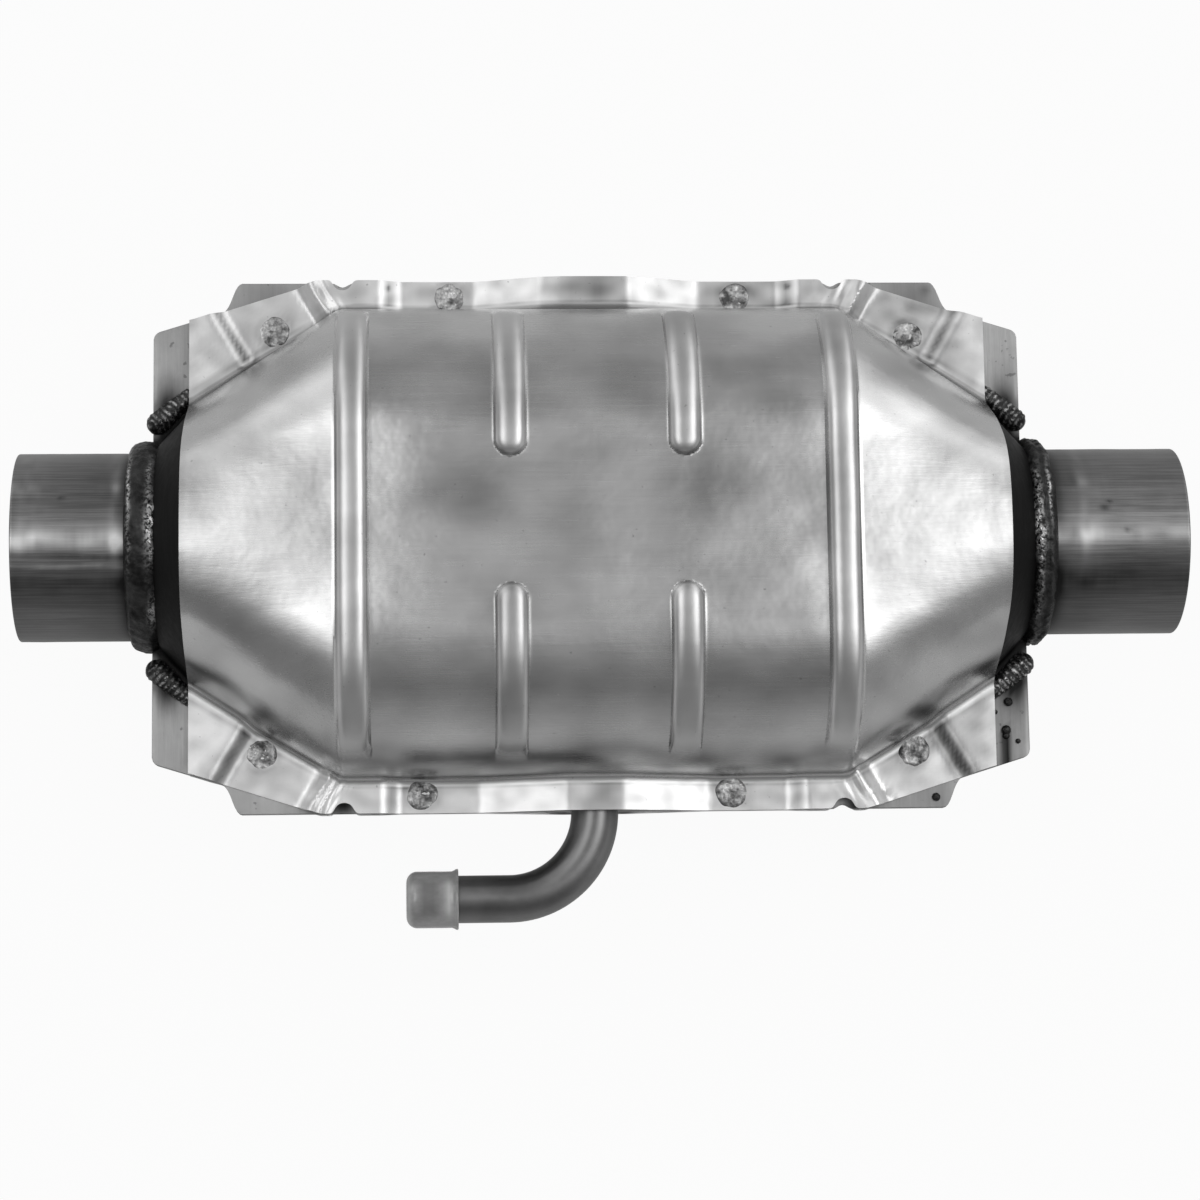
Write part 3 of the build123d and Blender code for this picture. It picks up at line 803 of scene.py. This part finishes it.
def pipeProfile(pipe):
    end, mouthX, lip = pipe["end"], pipe["mouthX"], pipes["lip"]
    places = spaced([(pipes["innerX"], 4), (150, 0.9), (175, 1.4), (mouthX - 2, 0.5), (mouthX - lip, 1)])
    outer = [(end * x, pipes["outer"]) for x in places]
    rounded = [(end * (mouthX - lip + lip * sin(a)), pipes["outer"] - lip + lip * cos(a))
            for a in (pi / 6, pi / 3, pi / 2)]
    rounded += [(end * mouthX, pipes["inner"] + 0.25), (end * (mouthX - 0.3), pipes["inner"])]
    return outer + rounded + [(end * x, pipes["inner"]) for x in (185, 170, 155, pipes["innerX"])]


def pipeSheenAndWear(pipe, x, y, z, angle, dark):
    # painted highlights, painted dark reflected lines and painted shade, dark pits, and how high the outside
    # is, from its marks
    light, lump = 0.0, 0.0
    for middle, width, strength in pipe["marks"]:
        reflected = strength * bump(angle - middle - 2.0 * noiseAt(x / 16, 3, middle), width)
        reflected *= (0.85 + 0.7 * noiseAt(x / 7, angle / 9, middle)
                + 0.35 * noiseAt(x / 1.6, angle / 30, middle))
        reflected *= mix(1.15, 0.75, clamp((abs(x) - 158) / 35))
        light, dark = light + max(0, reflected), dark + max(0, -reflected)
        if width < 2:
            lump += 0.12 * reflected
    for middle, width, strength in pipe["bands"]:
        reflected = strength * bump(x - middle, width) * (0.75 + 0.9 * noiseAt(x / 3, y / 7, z / 7))
        reflected *= (0.45 + 1.5 * bump(angle + 6, 6) + 0.9 * bump(angle - 29, 4)) * clamp((angle + 34) / 18)
        light, dark = light + max(0, reflected), dark + max(0, -reflected)
    for place, middle, size in pipe["pits"]:
        dark += 0.7 * bump(hypot((x - place) / 1.5, radians(angle - middle) * pipes["outer"]), size)
    # painted shade on the pipe's side towards the tube and underneath
    dark += 0.18 * clamp(-(angle + 22) / 10)
    dark += 0.24 * bump(abs(x) - 162, 8) * (clamp((angle - 5) / 15) + clamp(-(angle + 30) / 10))
    return light, dark, lump


def makePipe(name):
    pipe = pipes[name]
    bm, stain, shine = spun(pipeProfile(pipe), pipes["steps"], ("stain", "shine"))
    for vert in bm.verts:
        x, y, z = vert.co
        radius = hypot(y, z)
        angle = degrees(atan2(y, z))
        heat = 0.75 * bump(abs(x) - 154, 3.6) * (1 - 0.8 * bump(angle + 6, 9))  # beside the weld
        # the inside is painted darker, a painted shade
        light, dark, lump = 0.0, 0.55 + heat, 0.0
        if radius > pipes["inner"] + 0.4:
            light, dark, lump = pipeSheenAndWear(pipe, x, y, z, angle, heat)
        lump += 0.1 * noiseAt(x / 14, y / 20, z / 20) + 0.05 * noiseAt(x / 5, y / 9, z / 9 + 7)
        vert.co = (x, y * (radius + lump) / radius, z * (radius + lump) / radius)
        vert[stain], vert[shine] = clamp(dark), clamp(light)
    keepPiece(name + "Pipe", bm, pipeSteel, [name + "_pipe"])


makePipe("inlet")
makePipe("outlet")


# weld rings round the pipes

rings = {
    "foot": 31.55, "profileSteps": 26, "steps": 320, "ripples": 46,
    "inlet": {"x": -149.6, "width": 12, "height": 4.2, "rough": 0.26, "valley": (-4.8, 0.8, 0.35),
        # painted glints: angle from the top, half range, place across, half width, strength
        "bright": [(2, 15, 3, 1.5, 1.5), (-46, 9, 3, 1.2, 0.9), (30, 34, -4.6, 0.7, 0.8),
        (34, 14, 2.6, 0.7, 0.5)]},
    "outlet": {"x": 150.4, "width": 8.6, "height": 4.2, "rough": 0.4, "valley": (0.4, 0.8, -0.85),
        "bright": [(-4, 10, -2.2, 1.5, 1.5), (18, 16, -2.2, 1.1, 0.7), (22, 15, 1.9, 0.5, 0.9),
        (-30, 30, -2, 1, 0.35)]},
}


def makeRing(name):
    ring, count = rings[name], rings["profileSteps"]
    profile = [(ring["x"] - ring["width"] / 2 * cos(a), rings["foot"] + ring["height"] * sin(a))
            for a in (pi * i / count for i in range(count + 1))]
    bm, shine = spun(profile, rings["steps"], ["shine"])
    for vert in bm.verts:
        x, y, z = vert.co
        radius, angle, off = hypot(y, z), atan2(y, z), x - ring["x"]
        raised = (radius - 31.5) / ring["height"]
        ripple = sin(angle * rings["ripples"] + 1.4 * sin(3 * angle) + 0.5 * off)
        rough = noiseAt(x / 1.5, y / 2.4, z / 2.4) + 0.6 * noiseAt(x / 0.7, y / 0.9, z / 0.9)
        wander = 0.9 * noiseAt(y / 9, z / 9, copysign(3, x))
        place, width, depth = ring["valley"]
        # painted glints at the places listed for each ring
        glint = sum(strength * bump(degrees(angle) - middle, reach) * bump(off - across - wander * 0.6, half)
                for middle, reach, across, half, strength in ring["bright"])
        rough *= ring["rough"] * (1 + 1.2 * clamp(glint))
        grow = 0.12 * ripple + rough + depth * bump(off - place, width) + 0.35 * wander
        grow = radius + clamp(raised * 1.6) * grow
        vert.co = (x + wander * clamp(raised * 2) * 0.8, y * grow / radius, z * grow / radius)
        vert[shine] = clamp(glint * (0.75 + 1.3 * rough) + 0.1 * rough) * clamp(raised * 3)
    keepPiece(name + "Ring", bm, weldMetal, [name + "_pipe_weld"])


makeRing("inlet")
makeRing("outlet")
print("pipes and their welds are in")


# tapered seam beads at the neck's corners, laid like a row of coins

beads = {"inner": (134.5, 53, 2.3), "outer": (148.9, 40.3, 1.2), "radii": (2.5, 4.5), "coins": 10,
        "profileSteps": 70, "steps": 56, "bright": 0.55, "brightest": 0.9}


def makeBead(name, end, side, node, bright):
    start, stop = (Vector((end * x, side * y, z)) for x, y, z in (beads["inner"], beads["outer"]))
    length = (stop - start).length
    profile = [(-0.6, 0.02)]
    for i in range(beads["profileSteps"] + 1):
        k = i / beads["profileSteps"]
        radius = mix(*beads["radii"], k ** 0.8) * 0.9
        radius *= sqrt(clamp(1 - max(0, (k - 0.78) / 0.225) ** 2, 0.0004)) * clamp(k * 9 + 0.35)
        profile.append((k * (length + 1.2) - 0.4, max(0.02, radius)))
    bm, shine = spun(profile, beads["steps"], ["shine"], closed=False, near=0.03)
    bmesh.ops.holes_fill(bm, edges=bm.edges, sides=60)
    faceOut(bm)
    for vert in bm.verts:
        rough = noise.noise(vert.co * 0.75) + 0.5 * noise.noise(vert.co * 1.7)
        k = clamp(vert.co.x / length)
        bow = cos(atan2(vert.co.y, vert.co.z))  # each coin is a crescent that trails at its sides
        phase = beads["coins"] * k + 0.55 * bow + 0.35 * noiseAt(k * 5, bow, bright * 9)
        crest = abs(sin(pi * phase)) ** 0.8
        vert.co += Vector((0, vert.co.y, vert.co.z)) * (0.06 * rough + 0.11 * crest - 0.03)
        # painted highlight on each coin's crest
        vert[shine] = clamp(bright * crest ** 3 * (0.5 + rough))
    turn = (stop - start).normalized().to_track_quat("X", "Z").to_matrix().to_4x4()
    keepPiece(name, bm, weldMetal, [node], Matrix.Translation(start) @ turn)


# the outlet's bead on the tube's side gets the brightest painted highlight
for endName, end in (("inlet", -1), ("outlet", 1)):
    for sideName, side in (("plain", 1), ("tube", -1)):
        makeBead(f"{endName}{sideName.title()}Bead", end, side, f"{endName}_{sideName}_side_seam_weld",
                beads["brightest"] if (end, side) == (1, -1) else beads["bright"])


# spatter near one corner

spatter = {"level": 1.5, "flatness": 0.75,
        # place and size of each drop
        "drops": [(141.3, -55.3, 1.5), (140.3, -64.9, 1.6), (115.7, -87.4, 1.4), (144.3, -68.7, 0.9),
        (140.2, -66.8, 1.2), (136.8, -58.7, 0.8)]}


def makeSpatter():
    bm = bmesh.new()
    for x, y, size in spatter["drops"]:
        made = bmesh.ops.create_icosphere(bm, subdivisions=3, radius=size)
        for vert in made["verts"]:
            vert.co *= 1 + 0.12 * noise.noise(vert.co * 1.3 + Vector((x, y, 0)))
            vert.co.z *= spatter["flatness"]
        bmesh.ops.translate(bm, vec=(x, y, spatter["level"] + size * 0.25), verts=made["verts"])
    bm.verts.layers.float.new("shine")
    keepPiece("weldSpatter", bm, weldMetal)


makeSpatter()


# spot welds

spotWeld = {"radius": 5.4, "rings": 15, "segments": 44, "height": 0.45, "top": 2.4, "sheet": 0.5,
        "ridge": (0.84, 0.12, 0.16), "patch": (1.6, -1.2), "rim": 0.98}


def addSpot(bm, spotX, spotY, up, number):
    # a disc of rings, raised and pitted
    radius, rings = spotWeld["radius"], spotWeld["rings"]
    profile = [(0.02, 0)] + [(radius * i / rings, 0) for i in range(1, rings + 1)]
    one, stain = spun(profile, spotWeld["segments"], ["stain"], closed=False, axis=(0, 0, 1), near=0.03)

    def around(angle, scale, seed):
        return noiseAt(cos(angle) * scale, sin(angle) * scale, seed)

    for vert in one.verts:
        far = vert.co.length / radius
        angle = atan2(vert.co.y, vert.co.x)
        wobble = 1 + 0.11 * around(angle, 1.8, number * 3.1)
        seed = Vector((vert.co.x * 0.55, vert.co.y * 0.55, number * 5.3))
        rough = noise.noise(seed) + 0.6 * noise.noise(seed * 2.3)
        place, half, rise = spotWeld["ridge"]
        ridge = rise * bump(far - place, half) * (0.5 + around(angle, 2, number + 20))
        height = (spotWeld["height"] * (0.55 + 0.75 * rough) + ridge) * clamp((1.02 - far) * 3.5)
        height -= 0.16 * clamp((far - 0.9) * 10)
        vert.co = (spotX + vert.co.x * wobble, spotY + vert.co.y * wobble, up * (spotWeld["top"] + height))
        patchX, patchY = spotWeld["patch"]
        patch = hypot(vert.co.x - spotX - patchX, (vert.co.y - spotY - patchY) * 1.2)
        rim = bump(far - spotWeld["rim"], 0.1) * (0.6 + 1.1 * around(angle, 2.2, number + 40))
        vert[stain] = clamp(0.75 * bump(patch - 0.6, 1.7) * (0.8 + 0.9 * rough) + 0.6 * rim)
    faceOut(one)
    for face in one.faces:
        if face.normal.z * up < 0:
            face.normal_flip()
    mesh = meshFrom("spot", one)
    bm.from_mesh(mesh)
    bpy.data.meshes.remove(mesh)


for name, spots, up, node in (("upperSpots", shield["spots"], 1, "upper_spot_welds"),
        ("lowerSpots", shield["lowerSpots"], -1, "lower_spot_welds")):
    bm = bmesh.new()
    for number, (spotX, spotY) in enumerate(spots):
        addSpot(bm, spotX, spotY, up, number)
    keepPiece(name, bm, spotMetal, [node], wall=spotWeld["sheet"])
print("welds are laid")


# air tube

tube = {"radius": 7.95, "wall": 1.2, "edge": 0.25, "bend": 29, "innerY": -69, "exitY": -91, "endX": -62,
        "segments": 56, "exitSteps": 8, "bendSteps": 30, "endSteps": 14}


def makeTube():
    bm = bmesh.new()
    made = bmesh.ops.create_circle(bm, radius=tube["radius"], segments=tube["segments"])
    turn = Matrix.Rotation(radians(90), 4, "X")
    bmesh.ops.transform(bm, matrix=Matrix.Translation((0, tube["innerY"], 0)) @ turn, verts=made["verts"])
    edges = pullEdges(bm, list(bm.edges), (0, tube["exitY"] - tube["innerY"], 0), tube["exitSteps"])
    turned = bmesh.ops.spin(bm, geom=edges + list({v for e in edges for v in e.verts}), axis=(0, 0, 1),
            cent=(-tube["bend"], tube["exitY"], 0), angle=-pi / 2,
            steps=tube["bendSteps"])["geom_last"]
    edges = [g for g in turned if isinstance(g, bmesh.types.BMEdge)]
    pullEdges(bm, edges, (tube["endX"] + tube["bend"], 0, 0), tube["endSteps"])
    joinUp(bm, 1e-4)
    keepPiece("airTube", bm, tubeSteel, ["air_tube"], wall=tube["wall"], edge=tube["edge"])


makeTube()


# cap on the tube's end

cap = {"closedX": -63.5, "openX": -46.1, "y": -120, "outer": 9.45, "inner": 8.05, "wall": 1.4, "round": 3.6,
        "roundSteps": 8, "steps": 72,
        # the lip: way back from the open end, and rise over the outside
        "lip": [(3.2, 0), (2.2, 0), (1.4, 0.35), (0.7, 0.75), (0.2, 0.75), (0, 0.45)]}


def capProfile():
    closed, opened, outer, inner = cap["closedX"], cap["openX"], cap["outer"], cap["inner"]
    profile = [(closed, 0.02), (closed + 0.05, 3)]
    for i in range(cap["roundSteps"] + 1):
        angle = pi / 2 * (1 - i / cap["roundSteps"])
        profile.append((closed + cap["round"] * (1 - sin(angle)), outer - cap["round"] * (1 - cos(angle))))
    profile += [(closed + step, outer) for step in (4.6, 6, 7.5, 9, 10.5, 12, 13.2)]
    profile += [(opened - back, outer + rise) for back, rise in cap["lip"]]
    profile += [(opened, inner + 0.3), (opened - 0.3, inner), (opened - 4, inner), (opened - 8, inner)]
    floor = closed + cap["wall"]
    return profile + [(closed + 4.5, inner), (floor + 0.6, inner - 0.5), (floor, inner - 1.6), (floor, 0.02)]


def makeCap():
    bm, stain, shine = spun(capProfile(), cap["steps"], ("stain", "shine"), closed=False, near=0.05)
    for vert in bm.verts:
        x, y, z = vert.co
        grow = 1 + 0.012 * noiseAt(x / 6, y / 5, z / 5)
        vert.co = (x, y * grow, z * grow)
        # painted shade where the tube's end shows through the plastic, painted highlights on the lip and the
        # closed rim
        vert[stain] = 0.55 * clamp((x + 60.5) / 3) * clamp((-51.0 - x) / 3) * clamp((7.5 - abs(y)) / 3)
        vert[shine] = clamp(0.75 * bump(x + 49.3, 1.1) * clamp((7 - abs(y)) / 3) + 0.35 * bump(x + 62.6, 0.9))
    faceOut(bm)
    place = Matrix.Translation((0, cap["y"], 0))
    keepPiece("tubeCap", bm, capPlastic, ["air_tube_cap"], place)


makeCap()
print("air tube is capped")


# catalyst bricks with open cells on the faces that the pipes show

brick = {"width": 136, "height": 80, "corner": 39.7, "near": 9, "length": 72, "pitch": 1.6, "wall": 0.17,
        "depth": 6, "rim": 1.6, "outlineSteps": 120}


def insideBrick(y, z):
    away = max(0, abs(y) - (brick["width"] / 2 - brick["corner"]))
    return hypot(away, z) < brick["corner"] - brick["rim"]


def makeBrick(name, end, node):
    pitch, corner, count = brick["pitch"], brick["corner"], brick["outlineSteps"]
    far = end * (brick["near"] + brick["length"])
    across, tall = round(brick["width"] / pitch), round(brick["height"] / pitch)
    bm = bmesh.new()
    bmesh.ops.create_grid(bm, x_segments=across, y_segments=tall, size=1)
    for vert in bm.verts:
        vert.co = (far, vert.co.x * across * pitch / 2, vert.co.y * tall * pitch / 2)
    outside = [f for f in bm.faces if not all(insideBrick(v.co.y, v.co.z) for v in f.verts)]
    bmesh.ops.delete(bm, geom=outside, context="FACES")
    cells = list(bm.faces)
    inner = [e for e in bm.edges if e.is_boundary]
    ring = []
    for i in range(count):
        angle = 2 * pi * i / count
        y = corner * cos(angle) + copysign(brick["width"] / 2 - corner, cos(angle))
        ring.append(bm.verts.new((far, y, corner * sin(angle))))
    outer = [bm.edges.new((ring[i], ring[(i + 1) % count])) for i in range(count)]
    bmesh.ops.triangle_fill(bm, edges=inner + outer, use_beauty=True, normal=(end, 0, 0))
    pullEdges(bm, outer, (-end * brick["length"], 0, 0))
    bmesh.ops.contextual_create(bm, geom=[e for e in bm.edges if e.is_boundary])
    faceOut(bm)
    cells = [f for f in cells if f.is_valid]
    bmesh.ops.inset_individual(bm, faces=cells, thickness=brick["wall"] / 2, use_even_offset=True)
    pushed = bmesh.ops.extrude_discrete_faces(bm, faces=cells)["faces"]
    bottoms = list({v for f in pushed for v in f.verts})
    bmesh.ops.translate(bm, vec=(-end * brick["depth"], 0, 0), verts=bottoms)
    keepPiece(name, bm, honeycomb, [node], smooth=False)


makeBrick("frontBrick", -1, "front_catalyst_brick")
makeBrick("rearBrick", 1, "rear_catalyst_brick")

# pieces that stay as the CAD has them, with a finish of their own
fibreMat, knittedWire = fibreMaterial(), wireMaterial()
for node, material in (("front_support_mat", fibreMat), ("rear_support_mat", fibreMat),
        ("front_mat_seals", knittedWire), ("rear_mat_seals", knittedWire),
        ("air_tube_weld", weldMetal)):
    for thing in bpy.data.objects:
        if thing.get("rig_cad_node") == node:
            thing.data.materials.clear()
            thing.data.materials.append(material)
print("bricks are packed")


# floor, light and camera

studio = {
    "floorColour": 0.55, "floorGlow": 0.95, "mirrorGlow": 0.2, "floorSize": 6,
    # brightness of the room, from the tube's side (-1) over the top (0) to the plain side (1)
    "room": [(-1, 0.42), (-0.92, 0.3), (-0.75, 0.17), (-0.5, 0.28), (-0.25, 0.2), (0, 0.1), (0.3, 0.08),
        (0.6, 0.3), (0.85, 0.18), (1, 0.37)],
    "softLights": [  # degrees from overhead towards +X and +Y, half width, strength
        (31, 8, 13, 1.95), (-23, 8, 13, 1.35), (39, 47, 14, 1.35), (-43, 54, 18, 0.95), (47, 78, 14, 0.8),
        (35, 27, 12, 0.45), (-32, 30, 14, 0.55),
        (16, 0, 13, 0.55), (94, -15, 26, 0.7), (-90, 5, 24, 0.65), (-31, -6, 10, 0.95), (37, -6, 10, 0.95),
    ],
    "boxes": [("leftBox", -23, 8, 0.7), ("rightBox", 31, 8, 0.8)],  # degrees, then brightness
    "boxDistance": 1.3, "boxSize": 0.66,
}


def layFloor():
    bm = bmesh.new()
    bmesh.ops.create_grid(bm, x_segments=1, y_segments=1, size=studio["floorSize"])
    mesh = meshFrom("floor", bm)
    level = min(cadBox[0][2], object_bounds()[0][2])
    floor = addObject("floor", mesh)
    floor.location = (bodyX * mm, 0, level)
    # white to the camera, dim in mirrors, and plain pale where light and shadow fall on it
    n = newMaterial("Pale floor")
    rays = n.add("LightPath").outputs
    mirrored = n.math("MAXIMUM", rays["Is Glossy Ray"], rays["Is Transmission Ray"])
    seen = n.math("MAXIMUM", n.math("MULTIPLY", rays["Is Camera Ray"], studio["floorGlow"]),
            n.math("MULTIPLY", mirrored, studio["mirrorGlow"]))
    matt = n.add("BsdfDiffuse", {"Color": studio["floorColour"]}).outputs["BSDF"]
    glow = n.add("Emission", {"Color": 1, "Strength": 1.0}).outputs["Emission"]
    mesh.materials.append(n.finish(n.add("MixShader", {"Fac": seen, 1: matt, 2: glow})))


def fromOverhead(towardsX, towardsY):
    # a direction given by its angle from straight up, split along X and Y
    far = radians(hypot(towardsX, towardsY))
    turn = atan2(towardsY, towardsX)
    return Vector((sin(far) * cos(turn), sin(far) * sin(turn), cos(far)))


def lightRoom():
    world = bpy.data.worlds.new("Studio")
    bpy.context.scene.world = world
    w = Nodes(world, "Generated")
    along = w.add("SeparateXYZ", {"Vector": w.place}).outputs["Y"]
    room = w.ramp(w.reach(along, -1, 1), [((place + 1) / 2, value) for place, value in studio["room"]])
    for towardsX, towardsY, half, strength in studio["softLights"]:
        sharp = 0.693 / (1 - cos(radians(half)))  # half as bright at the half width
        way = fromOverhead(towardsX, towardsY)
        near = w.add("VectorMath", {0: w.place, 1: way}, operation="DOT_PRODUCT").outputs["Value"]
        fall = w.add("Math", {0: near, 1: sharp, 2: -sharp}, operation="MULTIPLY_ADD").outputs[0]
        soft = w.add("Math", {0: fall}, operation="EXPONENT").outputs[0]
        room = w.math("ADD", room, w.math("MULTIPLY", soft, strength))
    w.finish(w.add("Background", {"Color": room}), "OutputWorld")


def placeBox(name, towardsX, towardsY, brightness):
    lamp = bpy.data.lights.new(name, "AREA")
    lamp.shape = "DISK"
    lamp.size = studio["boxSize"]
    lamp.energy = brightness * pi * pi * (studio["boxSize"] / 2) ** 2
    box = addObject(name, lamp)
    way = fromOverhead(towardsX, towardsY)
    box.location = Vector((bodyX * mm, 0, 0)) + way * studio["boxDistance"]
    box.rotation_euler = (-way).to_track_quat("-Z", "Y").to_euler()
    box.visible_camera = False


view = {"place": (0.13578, -0.17621, 1.09973), "turn": (8.1662, -2.99586, -0.84492), "lens": 98.16}


def placeCamera():
    camera = bpy.data.cameras.new("photoCamera")
    camera.sensor_width = 36.0
    camera.lens = view["lens"]
    camera.clip_start, camera.clip_end = 0.01, 50
    piece = addObject("photoCamera", camera)
    piece.location = view["place"]
    piece.rotation_euler = Euler([radians(a) for a in view["turn"]], "XYZ")
    bpy.context.scene.camera = piece


layFloor()
lightRoom()
for box in studio["boxes"]:
    placeBox(*box)
placeCamera()
bpy.context.scene.view_settings.view_transform = "Standard"
print("studio is lit")
